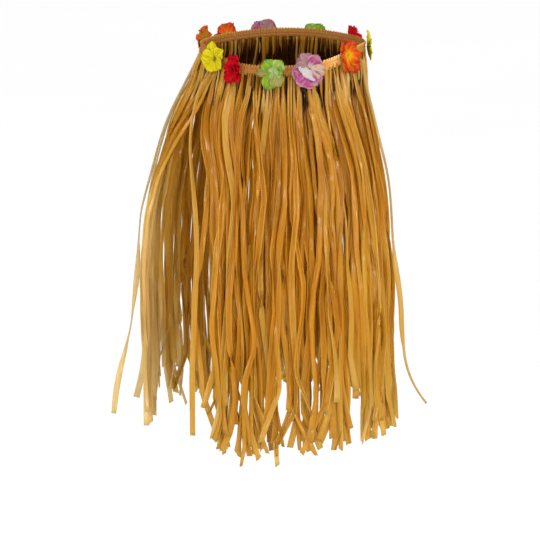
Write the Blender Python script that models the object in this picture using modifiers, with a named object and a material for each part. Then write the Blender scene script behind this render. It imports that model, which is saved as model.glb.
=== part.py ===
"""Grass hula skirt as it hangs when worn: a shirred waistband, a fringe of long flat raffia
strands in locks, a few strands that hang apart, and silk flowers sewn on the band.

Metres, +Z up, front at -Y. The origin is the middle of the waist, at the height of the
band's sides. Angles go round the waist in degrees from the centre front, positive to +X.
"""

import math
import random

import bmesh
import bpy
import numpy as np
from mathutils import Vector

COLLECTION = "grass_skirt"
SEED = 7

# Waistband
BAND_HEIGHT = 0.020
BAND_WALL = 0.0034
BAND_SEGMENTS = 72
# The band is level round the lowest point and climbs to the sides, then a little more behind.
LOWEST_DEG = -5.0
CLIMB_START_DEG = 12.0
CLIMB_END_DEG = 82.0
SIDE_CLIMB = 0.038
BACK_CLIMB = 0.017
# One row for each loop of the band's section: share of its height, and how far out it stands.
BAND_LOOPS = (
    {"height": 0.00, "out": 0.0000},
    {"height": 0.30, "out": 0.0008},
    {"height": 0.52, "out": -0.0002},
    {"height": 0.76, "out": 0.0008},
    {"height": 1.00, "out": 0.0003},
)

# The skirt's half sizes at each drop below the band. The left side is carried out by the step
# of the leg that parts the fringe.
OUTLINE = (
    {"drop": 0.000, "right": 0.1720, "left": 0.1720, "front": 0.120, "back": 0.120},
    {"drop": 0.030, "right": 0.1725, "left": 0.1790, "front": 0.123, "back": 0.130},
    {"drop": 0.060, "right": 0.1730, "left": 0.1950, "front": 0.128, "back": 0.145},
    {"drop": 0.095, "right": 0.1780, "left": 0.2140, "front": 0.135, "back": 0.160},
    {"drop": 0.140, "right": 0.1860, "left": 0.2340, "front": 0.145, "back": 0.174},
    {"drop": 0.190, "right": 0.1950, "left": 0.2510, "front": 0.156, "back": 0.182},
    {"drop": 0.240, "right": 0.2040, "left": 0.2640, "front": 0.164, "back": 0.186},
    {"drop": 0.325, "right": 0.2140, "left": 0.2840, "front": 0.172, "back": 0.188},
    {"drop": 0.430, "right": 0.2240, "left": 0.2940, "front": 0.176, "back": 0.184},
    {"drop": 0.540, "right": 0.2280, "left": 0.2940, "front": 0.177, "back": 0.178},
    {"drop": 0.680, "right": 0.2260, "left": 0.2870, "front": 0.176, "back": 0.172},
    {"drop": 0.760, "right": 0.2340, "left": 0.2880, "front": 0.178, "back": 0.170},
    {"drop": 0.820, "right": 0.2440, "left": 0.2900, "front": 0.180, "back": 0.170},
)

# Where a strand sewn on at "top" hangs lower down. The step at the parting is the leg gap.
PARTING_DEG = -55.0
HANG_BEHIND_PARTING = (
    {"top": -190.0, "hang": -190.0},
    {"top": -180.0, "hang": -180.0},
    {"top": -130.0, "hang": -136.0},
    {"top": -100.0, "hang": -113.0},
    {"top": -80.0, "hang": -99.0},
    {"top": -65.0, "hang": -89.0},
    {"top": -55.0, "hang": -82.0},
)
HANG_BEFORE_PARTING = (
    {"top": -55.0, "hang": -34.0},
    {"top": -45.0, "hang": -29.0},
    {"top": -30.0, "hang": -21.0},
    {"top": -10.0, "hang": -8.0},
    {"top": 0.0, "hang": 0.0},
    {"top": 20.0, "hang": 27.0},
    {"top": 45.0, "hang": 58.0},
    {"top": 70.0, "hang": 82.0},
    {"top": 90.0, "hang": 99.0},
    {"top": 180.0, "hang": 180.0},
)
# Drops between which a strand swings across: over the leg on one side, over the hip on the other.
LEG_SWING = (0.05, 0.29)
HIP_SWING = (0.00, 0.24)

# Fringe locks
LOCKS = 36
LOCK_WALL = 0.002
SEAM_GAP = 0.0009
SIDE_GAP_DEG = 0.15
FRONT_DROP = 0.796
BACK_DROP = 0.745
LOCK_DROPS = (0.0, 0.035, 0.090, 0.155, 0.235, 0.330, 0.460, 0.620)
LOCK_COLUMNS = 4
LAYER_STEP = 0.009
LAYERS_START = 0.008
LAYERS_END = 0.080
WIDEN_START = 0.060
WIDEN_END = 0.155
WIDEN_SHARE = 0.30
FOLD_DEPTH = 0.0014
SWAY_DEG = 1.6
CUT_UNEVENNESS = 0.014
END_RAGGEDNESS = 0.009

# Strands that hang apart from the locks. "facing" is the way their flat side looks.
STRAND_WIDTH = 0.012
STRAND_WALL = 0.001
STRAND_ROWS = 22
LOOSE_STRANDS = (
    {
        "name": "loose_strand_gap",
        "facing": -20.0,
        "path": (
            {"x": -0.1630, "y": -0.0760, "z": -0.0500},
            {"x": -0.1790, "y": -0.0930, "z": -0.0950},
            {"x": -0.1900, "y": -0.1080, "z": -0.1450},
            {"x": -0.1930, "y": -0.1220, "z": -0.2000},
            {"x": -0.1890, "y": -0.1330, "z": -0.2600},
            {"x": -0.1820, "y": -0.1400, "z": -0.3400},
            {"x": -0.1800, "y": -0.1420, "z": -0.4300},
            {"x": -0.1850, "y": -0.1400, "z": -0.5400},
            {"x": -0.1900, "y": -0.1360, "z": -0.6700},
            {"x": -0.1890, "y": -0.1320, "z": -0.8060},
        ),
    },
    {
        "name": "loose_strand_left",
        "facing": -82.0,
        "path": (
            {"x": -0.1850, "y": 0.0050, "z": -0.0333},
            {"x": -0.1945, "y": 0.0065, "z": -0.0540},
            {"x": -0.2105, "y": 0.0087, "z": -0.0840},
            {"x": -0.2285, "y": 0.0110, "z": -0.1190},
            {"x": -0.2460, "y": 0.0133, "z": -0.1590},
            {"x": -0.2620, "y": 0.0156, "z": -0.2030},
            {"x": -0.2725, "y": 0.0177, "z": -0.2480},
            {"x": -0.2840, "y": 0.0200, "z": -0.2900},
            {"x": -0.2940, "y": 0.0210, "z": -0.3260},
            {"x": -0.3030, "y": 0.0220, "z": -0.3650},
            {"x": -0.3045, "y": 0.0240, "z": -0.4400},
            {"x": -0.3120, "y": 0.0220, "z": -0.5200},
            {"x": -0.3205, "y": 0.0200, "z": -0.5880},
            {"x": -0.3295, "y": 0.0180, "z": -0.6350},
            {"x": -0.3436, "y": 0.0150, "z": -0.6820},
            {"x": -0.3530, "y": 0.0120, "z": -0.7280},
            {"x": -0.3580, "y": 0.0100, "z": -0.7820},
        ),
    },
    {
        "name": "loose_strand_left_end",
        "facing": -78.0,
        "path": (
            {"x": -0.1851, "y": 0.0221, "z": -0.0370},
            {"x": -0.1995, "y": 0.0261, "z": -0.0670},
            {"x": -0.2205, "y": 0.0307, "z": -0.1065},
            {"x": -0.2420, "y": 0.0348, "z": -0.1565},
            {"x": -0.2600, "y": 0.0381, "z": -0.2160},
            {"x": -0.2765, "y": 0.0389, "z": -0.2860},
            {"x": -0.2925, "y": 0.0389, "z": -0.3760},
            {"x": -0.2960, "y": 0.0395, "z": -0.4760},
            {"x": -0.2945, "y": 0.0390, "z": -0.5600},
            {"x": -0.2935, "y": 0.0380, "z": -0.6200},
            {"x": -0.2945, "y": 0.0360, "z": -0.6720},
            {"x": -0.3020, "y": 0.0360, "z": -0.7150},
            {"x": -0.3113, "y": 0.0360, "z": -0.7510},
        ),
    },
    {
        "name": "loose_strand_right",
        "facing": 68.0,
        "path": (
            {"x": 0.1687, "y": -0.0439, "z": -0.0375},
            {"x": 0.1721, "y": -0.0423, "z": -0.0620},
            {"x": 0.1778, "y": -0.0374, "z": -0.0910},
            {"x": 0.1865, "y": -0.0292, "z": -0.1240},
            {"x": 0.1965, "y": -0.0200, "z": -0.1700},
            {"x": 0.2100, "y": -0.0220, "z": -0.2210},
            {"x": 0.2210, "y": -0.0260, "z": -0.2650},
            {"x": 0.2275, "y": -0.0290, "z": -0.3200},
            {"x": 0.2305, "y": -0.0300, "z": -0.3900},
            {"x": 0.2350, "y": -0.0320, "z": -0.4480},
            {"x": 0.2480, "y": -0.0330, "z": -0.5200},
            {"x": 0.2515, "y": -0.0340, "z": -0.6100},
            {"x": 0.2590, "y": -0.0340, "z": -0.6660},
            {"x": 0.2720, "y": -0.0340, "z": -0.7040},
            {"x": 0.2880, "y": -0.0340, "z": -0.7320},
            {"x": 0.3040, "y": -0.0340, "z": -0.7530},
        ),
    },
)

# Flowers: place on the band in degrees, height above its centre line, size across and up,
# how far the petals stand forward, and how far the petals are turned round their own centre.
FLOWER_WALL = 0.002
FLOWER_STAND = 0.0016
PETALS = 5
POINTS_A_PETAL = 4
NOTCH_DEPTH = 0.20
FLOWERS = (
    {"name": "flower_green", "angle": -9, "rise": -0.0039, "wide": 0.058, "tall": 0.063, "cup": 0.011, "roll": 0},
    {"name": "flower_pink", "angle": 18, "rise": 0.0031, "wide": 0.068, "tall": 0.069, "cup": 0.011, "roll": 20},
    {"name": "flower_orange", "angle": 50.5, "rise": 0.0035, "wide": 0.066, "tall": 0.072, "cup": 0.011, "roll": 10},
    {"name": "flower_red", "angle": -38, "rise": -0.0032, "wide": 0.038, "tall": 0.060, "cup": 0.020, "roll": 36},
    {"name": "flower_yellow", "angle": -58, "rise": 0.0023, "wide": 0.066, "tall": 0.066, "cup": 0.010, "roll": 0},
    {"name": "flower_amber", "angle": -112, "rise": 0.0125, "wide": 0.060, "tall": 0.056, "cup": 0.009, "roll": 15},
    {"name": "flower_side_yellow", "angle": 92, "rise": -0.0020, "wide": 0.064, "tall": 0.066, "cup": 0.012, "roll": 30},
    {"name": "flower_back_red", "angle": 125, "rise": 0.0000, "wide": 0.060, "tall": 0.062, "cup": 0.014, "roll": 8},
    {"name": "flower_back_green", "angle": 158, "rise": -0.0040, "wide": 0.062, "tall": 0.064, "cup": 0.012, "roll": 25},
    {"name": "flower_back_pink", "angle": 192, "rise": -0.0020, "wide": 0.066, "tall": 0.066, "cup": 0.012, "roll": 12},
    {"name": "flower_back_orange", "angle": 222, "rise": 0.0010, "wide": 0.064, "tall": 0.066, "cup": 0.013, "roll": 33},
)

RAFFIA_TAN = (0.58, 0.31, 0.07, 1.0)
BAND_TAN = (0.62, 0.33, 0.08, 1.0)
PETAL_COLOURS = {
    "green": (0.26, 0.58, 0.05, 1.0),
    "pink": (0.62, 0.22, 0.55, 1.0),
    "orange": (0.85, 0.16, 0.03, 1.0),
    "red": (0.50, 0.01, 0.02, 1.0),
    "yellow": (0.70, 0.58, 0.02, 1.0),
    "amber": (0.72, 0.24, 0.02, 1.0),
}


def read(table, key, column, at):
    """The column's value where the key has the value `at`, in straight steps between rows."""
    keys = [row[key] for row in table]
    values = [row[column] for row in table]
    return float(np.interp(at, keys, values))


def smooth_step(start, end, at):
    """0 before start, 1 after end, and a soft rise between."""
    share = min(max((at - start) / (end - start), 0.0), 1.0)
    return share * share * (3.0 - 2.0 * share)


def band_height(angle):
    """Height of the band's centre line, with its sides at about zero."""
    turn = abs((angle - LOWEST_DEG + 180.0) % 360.0 - 180.0)
    climb = SIDE_CLIMB * smooth_step(CLIMB_START_DEG, CLIMB_END_DEG, turn)
    return climb - SIDE_CLIMB + BACK_CLIMB * smooth_step(CLIMB_END_DEG, 180.0, turn)


def half_sizes(angle, drop):
    """The outline's half width and half depth on this angle's side of the skirt."""
    turn = math.radians(angle)
    side = "right" if math.sin(turn) > 0 else "left"
    face = "front" if math.cos(turn) > 0 else "back"
    return read(OUTLINE, "drop", side, drop), read(OUTLINE, "drop", face, drop)


def outward(angle, drop):
    """The level direction straight out of the outline."""
    turn = math.radians(angle)
    half_width, half_depth = half_sizes(angle, drop)
    return Vector((math.sin(turn) / half_width, -math.cos(turn) / half_depth, 0.0)).normalized()


def outline_point(angle, drop, out, height):
    """A point on the skirt's outline, moved outwards, at a height."""
    turn = math.radians(angle)
    half_width, half_depth = half_sizes(angle, drop)
    point = Vector((half_width * math.sin(turn), -half_depth * math.cos(turn), height))
    return point + outward(angle, drop) * out


def hang_angle(top_angle, drop):
    """Where round the skirt a strand sewn on at top_angle hangs at this drop."""
    table = HANG_BEHIND_PARTING if top_angle < PARTING_DEG else HANG_BEFORE_PARTING
    swing = read(table, "top", "hang", top_angle) - top_angle
    start, end = HIP_SWING if top_angle > 0.0 else LEG_SWING
    return top_angle + swing * smooth_step(start, end, drop)


def finished(name, colour, roughness):
    """A Principled material in one colour."""
    material = bpy.data.materials.get(name)
    if material is None:
        material = bpy.data.materials.new(name)
        material.use_nodes = True
        shader = material.node_tree.nodes["Principled BSDF"]
        shader.inputs["Base Color"].default_value = colour
        shader.inputs["Roughness"].default_value = roughness
        shader.inputs["Metallic"].default_value = 0.0
    return material


def add_object(name, shape, material):
    """Turns a bmesh into an object of the skirt's collection."""
    mesh = bpy.data.meshes.new(name)
    shape.to_mesh(mesh)
    shape.free()
    mesh.materials.append(material)
    thing = bpy.data.objects.new(name, mesh)
    bpy.data.collections[COLLECTION].objects.link(thing)
    return thing


def add_wall(thing, thickness):
    """Gives an open cloth surface its thickness, half to each side."""
    wall = thing.modifiers.new("wall", "SOLIDIFY")
    wall.thickness = thickness
    wall.offset = 0.0
    wall.use_even_offset = True


def cloth_surface(columns, rows, place):
    """A grid of cloth, with place(share across, row from the top) giving each of its points."""
    surface = bmesh.new()
    bmesh.ops.create_grid(surface, x_segments=columns, y_segments=rows, size=0.5)
    for vertex in surface.verts:
        share = vertex.co.x + 0.5
        row = round((0.5 - vertex.co.y) * rows)
        vertex.co = place(share, row)
    return surface


def make_waistband():
    """The shirred ring, with two puffed rows between its seams."""

    def place(share, row):
        loop = BAND_LOOPS[len(BAND_LOOPS) - 1 - row]
        angle = 360.0 * share - 180.0
        height = band_height(angle) + (loop["height"] - 0.5) * BAND_HEIGHT
        return outline_point(angle, 0.0, loop["out"], height)

    ring = cloth_surface(BAND_SEGMENTS, len(BAND_LOOPS) - 1, place)
    bmesh.ops.remove_doubles(ring, verts=ring.verts, dist=0.00001)
    band = add_object("waistband", ring, finished("shirred_raffia", BAND_TAN, 0.5))
    add_wall(band, BAND_WALL)


def full_drop(angle):
    """Length of the fringe below the band: the back falls shorter over the seat."""
    front_share = 0.5 + 0.5 * math.cos(math.radians(angle))
    return BACK_DROP + (FRONT_DROP - BACK_DROP) * front_share


def make_lock(number, shuffle):
    """One lock of the fringe: a folded wall from the band to its ragged end."""
    centre = -180.0 + number * 360.0 / LOCKS
    half = 180.0 / LOCKS - SIDE_GAP_DEG
    layer = -LAYER_STEP if number % 2 else 0.0
    sway = shuffle.uniform(-SWAY_DEG, SWAY_DEG)
    cut = full_drop(centre) + shuffle.uniform(-CUT_UNEVENNESS, CUT_UNEVENNESS)
    ends = [cut + shuffle.uniform(-END_RAGGEDNESS, END_RAGGEDNESS) for _ in range(LOCK_COLUMNS + 1)]

    def place(share, row):
        column = round(share * LOCK_COLUMNS)
        drop = LOCK_DROPS[row] if row < len(LOCK_DROPS) else ends[column]
        top_angle = centre + (2.0 * share - 1.0) * half
        middle = hang_angle(centre, drop)
        widening = 1.0 + WIDEN_SHARE * smooth_step(WIDEN_START, WIDEN_END, drop)
        angle = middle + (hang_angle(top_angle, drop) - middle) * widening
        angle += sway * drop / FRONT_DROP
        parted = smooth_step(LAYERS_START, LAYERS_END, drop)
        fold = FOLD_DEPTH if column % 2 else -FOLD_DEPTH
        height = band_height(top_angle) - BAND_HEIGHT / 2 - SEAM_GAP - drop
        return outline_point(angle, drop, (layer + fold) * parted, height)

    surface = cloth_surface(LOCK_COLUMNS, len(LOCK_DROPS), place)
    name = f"fringe_lock_{number + 1:02d}"
    lock = add_object(name, surface, finished("raffia", RAFFIA_TAN, 0.35))
    add_wall(lock, LOCK_WALL)


def curve_point(points, share):
    """A point on the smooth curve through the points, by share of its steps."""
    steps = len(points) - 1
    at = min(share * steps, steps - 1e-6)
    first = int(at)
    t = at - first
    before = points[max(first - 1, 0)]
    start = points[first]
    end = points[first + 1]
    after = points[min(first + 2, steps)]
    bend = 2 * before - 5 * start + 4 * end - after
    twist = 3 * start - before - 3 * end + after
    return start + 0.5 * t * ((end - before) + t * (bend + t * twist))


def make_loose_strand(strand):
    """One flat strand along its own path."""
    points = [Vector((row["x"], row["y"], row["z"])) for row in strand["path"]]
    turn = math.radians(strand["facing"])
    across = Vector((math.cos(turn), math.sin(turn), 0.0))

    def place(share, row):
        return curve_point(points, row / STRAND_ROWS) + across * STRAND_WIDTH * (share - 0.5)

    surface = cloth_surface(1, STRAND_ROWS, place)
    thing = add_object(strand["name"], surface, finished("raffia", RAFFIA_TAN, 0.35))
    add_wall(thing, STRAND_WALL)


def petal_reach(turn, roll):
    """How far a flower's edge reaches at this turn: full at a petal's tip, less at a notch."""
    wave = abs(math.cos((turn - roll) * PETALS / 2))
    return 1.0 - NOTCH_DEPTH + NOTCH_DEPTH * wave**0.7


def make_flower(flower):
    """A cupped five-petal disc, facing straight out of the band."""
    disc = bmesh.new()
    bmesh.ops.create_cone(
        disc,
        cap_ends=True,
        segments=PETALS * POINTS_A_PETAL,
        radius1=0.5,
        radius2=0.5,
        depth=FLOWER_WALL,
    )
    caps = [face for face in disc.faces if len(face.verts) > 4]
    bmesh.ops.poke(disc, faces=caps)
    for vertex in disc.verts:
        from_centre = math.hypot(vertex.co.x, vertex.co.y)
        turn = math.atan2(vertex.co.x, vertex.co.y)
        reach = petal_reach(turn, math.radians(flower["roll"])) if from_centre > 0.1 else 1.0
        vertex.co.z += flower["cup"] * (2.0 * from_centre) ** 2
        vertex.co.x *= flower["wide"] * reach
        vertex.co.y *= flower["tall"] * reach
    colour = flower["name"].split("_")[-1]
    material = finished(f"petals_{colour}", PETAL_COLOURS[colour], 0.6)
    thing = add_object(flower["name"], disc, material)
    angle = flower["angle"]
    facing = outward(angle, 0.0)
    stand = BAND_WALL / 2 + FLOWER_STAND + FLOWER_WALL / 2
    thing.location = outline_point(angle, 0.0, stand, band_height(angle) + flower["rise"])
    thing.rotation_euler = (math.pi / 2, 0.0, math.atan2(facing.x, -facing.y))


def main():
    for thing in list(bpy.data.objects):
        bpy.data.objects.remove(thing, do_unlink=True)
    group = bpy.data.collections.new(COLLECTION)
    bpy.context.scene.collection.children.link(group)
    shuffle = random.Random(SEED)
    make_waistband()
    for number in range(LOCKS):
        make_lock(number, shuffle)
    for strand in LOOSE_STRANDS:
        make_loose_strand(strand)
    for flower in FLOWERS:
        make_flower(flower)


main()
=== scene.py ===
"""Looks of a worn grass skirt: flat raffia strands in locks under a shirred waistband, with
pressed cloth flowers sewn round it. Run as a script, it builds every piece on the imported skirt."""

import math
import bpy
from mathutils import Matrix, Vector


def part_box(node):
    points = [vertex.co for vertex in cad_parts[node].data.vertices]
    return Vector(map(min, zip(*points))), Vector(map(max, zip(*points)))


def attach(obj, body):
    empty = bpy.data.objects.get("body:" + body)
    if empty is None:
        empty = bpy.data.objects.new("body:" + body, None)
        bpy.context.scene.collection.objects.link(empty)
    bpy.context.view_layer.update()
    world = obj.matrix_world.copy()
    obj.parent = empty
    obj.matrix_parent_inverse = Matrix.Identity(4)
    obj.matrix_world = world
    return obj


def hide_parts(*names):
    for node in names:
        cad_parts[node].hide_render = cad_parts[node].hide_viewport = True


bl_info = {
    "name": "Grass Skirt",
    "version": (1, 0, 0),
    "blender": (4, 5, 0),
    "location": "View3D > Sidebar > Grass Skirt",
    "description": "Builds the strands, waistband and flowers of a worn grass skirt",
    "category": "Add Mesh",
}

from collections import namedtuple

import bmesh
import bpy
import numpy as np
from mathutils import Vector

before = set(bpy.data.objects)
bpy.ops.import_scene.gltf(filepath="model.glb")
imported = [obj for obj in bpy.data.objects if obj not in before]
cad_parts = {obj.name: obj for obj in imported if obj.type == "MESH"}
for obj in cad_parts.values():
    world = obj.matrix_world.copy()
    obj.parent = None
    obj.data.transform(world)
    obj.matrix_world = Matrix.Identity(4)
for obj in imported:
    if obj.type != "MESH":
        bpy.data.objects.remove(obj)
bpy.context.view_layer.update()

BODY = "root"
UP = np.array([0.0, 0.0, 1.0])
LOCK_POINTS_A_ROW = 10
STRAND_POINTS_A_ROW = 4
# Rows that carry a loose strand up from its packed top to the band.
LEAD_ROWS = 4
# How each loose strand hangs. A row of hang is a drop in metres, with the turn of the strand's
# flat side and its lengthwise fold there, in radians. Tone is how pale it is, on the scale of
# the strands' tones, and sheer is how much of the palest light it lets through. The tones are
# painted light: paler for the strands that hang out in the light, darker for the one in the gap's shade.
LOOSE_STRANDS = {
    "loose_strand_gap": {
        "hang": ((0.00, 0.0, 1.25), (0.22, 0.0, 1.00), (0.34, 0.2, 0.45), (0.60, 0.0, 0.30)),
        "tone": 0.66,
        "sheer": 0.40,
    },
    "loose_strand_left": {
        "hang": (
            (0.00, 0.3, 0.90), (0.36, 0.0, 0.40), (0.46, -1.0, 0.25),
            (0.555, 0.05, 0.30), (0.68, -1.1, 0.15), (0.75, -0.8, 0.40),
        ),
        "tone": 0.88,
        "sheer": 1.00,
    },
    "loose_strand_left_end": {
        "hang": ((0.00, 0.1, 0.90), (0.58, 0.0, 0.40), (0.66, -1.2, 0.10)),
        "tone": 0.88,
        "sheer": 1.00,
    },
    "loose_strand_right": {
        "hang": (
            (0.00, 0.0, 0.90), (0.37, -0.2, 0.50), (0.43, 0.7, 0.20),
            (0.56, 0.6, 0.20), (0.61, -0.2, 0.60), (0.72, -0.35, 0.80),
        ),
        "tone": 0.80,
        "sheer": 0.75,
    },
}
# Film bent more sharply than this shows a crease.
CREASE = math.radians(9.0)
FORM_STEPS = 80
FORM_SMOOTHING = 4
# A lock's strands: their mean length as a share of the lock's, its spread, the share of them
# that is cut short and by how much, in metres.
MEAN_LENGTH = 0.990
LENGTH_SPREAD = 0.014
SHORT_SHARE = 0.25
SHORT_BY = (0.02, 0.10)
# Bunches in each half width of a lock: tufts under the band, clumps near the ends.
TUFTS = 1.25
CLUMPS = 1.1
# The shares of strands that turn over on their way down, and that hang folded.
TURNED_SHARE = 0.40
FOLDED_SHARE = 0.28
# Strands this far forward in a lock, from -1 to 1, are the outer ones, which get a painted highlight
# under the band.
OUTER_DEPTH = 0.1
# How far a strand stays behind a sewn flower.
FLOWER_ROOM = 0.0045
# On the flat film that the streaks are drawn on: a strand's width, and how far each strand lies
# beside and above the last one, so that no two are streaked alike.
LAY_WIDTH = 0.012
LAY_BESIDE = 0.05
LAY_ABOVE = 0.31
# How far the count of strands moves on from lock to lock, and where it is for the loose ones.
LOCK_COUNT_STEP = 0.37
LOOSE_COUNT = 40
# Where each kind of piece starts its chances; the first two are times the strands' seed.
LOCK_CHANCES = 1000
LOOSE_CHANCES = 2000
BAND_CHANCES = 11
FLOWER_CHANCES = 300


# ---------------------------------------------------------------- settings


def length_setting(name, text, default):
    return bpy.props.FloatProperty(name=name, description=text, default=default, unit="LENGTH")


def count_setting(name, text, default, low, high):
    return bpy.props.IntProperty(name=name, description=text, default=default, min=low, max=high)


def colour_setting(name, text, default):
    return bpy.props.FloatVectorProperty(name=name, description=text, default=default, subtype="COLOR")


class StrandSettings(bpy.types.PropertyGroup):
    """Sizes and colours of the raffia strands"""

    width: length_setting("Width", "Flat width of a strand", 0.0142)
    film: length_setting("Film", "Thickness of a strand", 0.00022)
    pitch: length_setting("Pitch", "Waistband length for each strand", 0.0029)
    rows: count_setting("Rows", "Faces along a strand", 72, 20, 90)
    columns: count_setting("Columns", "Faces across a strand", 6, 2, 8)
    tuck: length_setting("Tuck", "How far a strand runs up behind the band", 0.006)
    gather: length_setting("Gather", "Drop over which the gathered strands open", 0.11)
    seed: count_setting("Seed", "Chooses how the strands fall", 5, 0, 1000)
    dark: colour_setting("Dark", "Darkest strands", (0.34, 0.105, 0.003))
    middle: colour_setting("Middle", "Most strands", (0.585, 0.242, 0.009))
    light: colour_setting("Light", "Palest strands", (0.66, 0.38, 0.045))
    amber: colour_setting("Amber", "Light through most strands", (0.79, 0.59, 0.19))
    glow: colour_setting("Glow", "Light through the palest strands", (0.70, 0.69, 0.58))
    # Shadow is painted shade deep in the folds under the band, and gleam a painted highlight: the colour
    # of the lit strand edges there and of the palest strands.
    shadow: colour_setting("Shadow", "Deepest folds at the band", (0.055, 0.014, 0.001))
    gleam: colour_setting("Gleam", "Drawn, whitened film", (0.80, 0.54, 0.20))


class BandSettings(bpy.types.PropertyGroup):
    """Sizes and colours of the shirred waistband"""

    wall: length_setting("Wall", "Thickness of the shirred raffia", 0.0009)
    gathers: count_setting("Gathers", "Gathers round the waist", 168, 40, 300)
    rows: count_setting("Rows", "Faces up the band", 16, 8, 40)
    frill: length_setting("Frill", "Height of the frill above the band", 0.003)
    stretch: bpy.props.FloatProperty(
        name="Fullness", description="Cut length for each length of band", default=1.5, min=1.0, max=3.0
    )
    # Dark is painted shade between the gathers, and light a painted highlight on the tips of the frill.
    dark: colour_setting("Dark", "Between the gathers", (0.26, 0.090, 0.012))
    middle: colour_setting("Middle", "Most of the band", (0.53, 0.225, 0.020))
    light: colour_setting("Light", "Tips of the frill", (0.90, 0.66, 0.36))


class FlowerSettings(bpy.types.PropertyGroup):
    """Detail of the cloth flowers"""

    cloth: length_setting("Cloth", "Thickness of the petals", 0.0003)
    columns: count_setting("Columns", "Faces across a petal", 20, 6, 40)
    rows: count_setting("Rows", "Faces along a petal", 12, 6, 30)


class StageSettings(bpy.types.PropertyGroup):
    """Camera, floor and lights"""

    elevation: bpy.props.FloatProperty(
        name="Elevation",
        description="Camera height as an angle",
        default=math.radians(8),
        subtype="ANGLE",
    )
    distance: length_setting("Distance", "Camera to skirt", 14.0)
    field: length_setting("Field", "Width of the view at the skirt", 1.142)
    floor_drop: length_setting("Floor", "Floor below the waist", 1.4)


# ---------------------------------------------------------------- small tools


def smooth_step(start, end, at):
    """0 before start, 1 after end, with a soft rise between; works on arrays."""
    share = np.clip((np.asarray(at, float) - start) / (end - start), 0.0, 1.0)
    return share * share * (3.0 - 2.0 * share)


def lengths_one(vectors):
    """The rows of an array, each made one long."""
    return vectors / np.maximum(np.linalg.norm(vectors, axis=-1, keepdims=True), 1e-12)


def softened(values, passes):
    """Values along a path, smoothed with their ends kept."""
    values = values.copy()
    for _ in range(passes):
        values[1:-1] = 0.25 * values[:-2] + 0.5 * values[1:-1] + 0.25 * values[2:]
    return values


def packed_points(node):
    """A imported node's own points, each once."""
    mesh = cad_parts[node].data
    points = np.array([tuple(vertex.co) for vertex in mesh.vertices])
    return np.unique(np.round(points, 5), axis=0)


def nodes_named(start):
    """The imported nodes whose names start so, in order."""
    return sorted(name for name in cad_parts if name.startswith(start))


def finish_piece(name, shape, materials, node, wall, offset=0.0, crease=None):
    """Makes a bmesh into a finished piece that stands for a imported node."""
    mesh = bpy.data.meshes.new(name)
    shape.to_mesh(mesh)
    shape.free()
    mesh.shade_smooth()
    if crease:
        mesh.set_sharp_from_angle(angle=crease)
    for material in materials:
        mesh.materials.append(material)
    piece = bpy.data.objects.new(name, mesh)
    bpy.context.scene.collection.objects.link(piece)
    cloth = piece.modifiers.new("cloth", "SOLIDIFY")
    cloth.thickness = wall
    cloth.offset = offset
    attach(piece, BODY)
    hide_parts(node)
    return piece


# ---------------------------------------------------------------- materials


WHITE = (1.0, 1.0, 1.0)
# The film's own colour shows in its gloss.
FILM_GLOSS = (1.0, 0.80, 0.42)


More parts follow.
